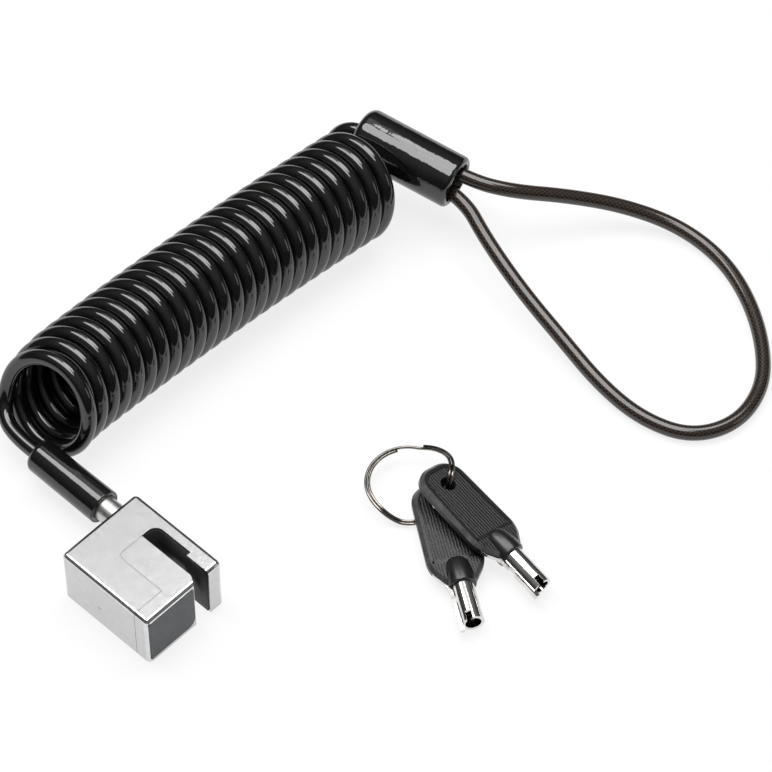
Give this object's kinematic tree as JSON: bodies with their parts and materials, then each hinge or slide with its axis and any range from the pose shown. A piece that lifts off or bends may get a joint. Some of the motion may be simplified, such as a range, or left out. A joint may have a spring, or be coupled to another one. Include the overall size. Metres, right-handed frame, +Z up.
{
  "type": "laptop cable lock",
  "caption": "Keyed laptop lock head with a hook arm and sliding jaw on a curly steel cable that ends in an anchoring loop, with a ring of keys.",
  "frame": {"origin": "middle of the lock head's underside, on the surface that the object lies on", "axes": "+X along the head from the cable end to the end pad, +Y towards the hook arm and along the coil, +Z up"},
  "size_m": [0.1311, 0.18, 0.0286],
  "materials": {
    "satin_chrome": "satin",
    "bright_chrome": "polished",
    "steel": "satin",
    "brass": "satin",
    "black_rubber": "matte",
    "grey_rubber": "matte",
    "black_plastic": "gloss",
    "smoked_jacket": "gloss",
    "aluminium": "satin",
    "charcoal_plastic": "matte"
  },
  "bodies": {
    "cable": {"cable_ferrule": "steel", "cable_boot": "black_plastic", "coil_cable": "black_plastic", "crimp_ferrule": "aluminium", "crimp_sleeve": "black_plastic", "loop_cable": "smoked_jacket"},
    "head": {"lock_body": "satin_chrome", "slot_liner": "black_rubber", "cylinder_pin": "steel", "swivel_pins": "steel", "stop_pin": "steel", "lock_shell": "brass", "driver_chamber": "brass", "driver_pins": "brass", "driver_springs": "steel"},
    "plug": {"lock_plug": "brass", "key_pins": "brass", "drive_pinion": "steel"},
    "jaw": {"sliding_jaw": "satin_chrome", "rack_bolt": "steel", "bolt_pin": "steel", "guide_rod": "steel", "end_pad": "grey_rubber"},
    "ring": {"key_ring": "bright_chrome"},
    "key_1": {"key_1_bow": "charcoal_plastic", "key_1_shank": "bright_chrome"},
    "key_2": {"key_2_bow": "charcoal_plastic", "key_2_shank": "bright_chrome"}
  },
  "joints": [
    {"name": "head_swivel", "type": "hinge", "parent": "cable", "child": "head", "pos_m": [-0.0095, 0.0076, 0.0078], "axis": [1, 0, 0], "continuous": true},
    {"name": "plug_turn", "type": "hinge", "parent": "head", "child": "plug", "pos_m": [-0.006, -0.0056, 0.005], "axis": [0, 0, -1], "range_deg": [0, 90]},
    {"name": "jaw_slide", "type": "slide", "parent": "head", "child": "jaw", "axis": [1, 0, 0], "range_m": [0, 0.00471]},
    {"name": "keys_lift", "type": "slide", "parent": "cable", "child": "ring", "axis": [0, 0, 1], "range_m": [0, 0.05]},
    {"name": "key_1_swing", "type": "hinge", "parent": "ring", "child": "key_1", "pos_m": [0.0332, 0.06363, 0.0035], "axis": [0, 0, 1], "range_deg": [-40, 0]},
    {"name": "key_2_swing", "type": "hinge", "parent": "ring", "child": "key_2", "pos_m": [0.03275, 0.0665, 0.00785], "axis": [0, 0, 1], "range_deg": [0, 35]}
  ],
  "couplings": [
    {"joint": "plug_turn", "follows": "jaw_slide", "rad_per_m": 333.33}
  ]
}
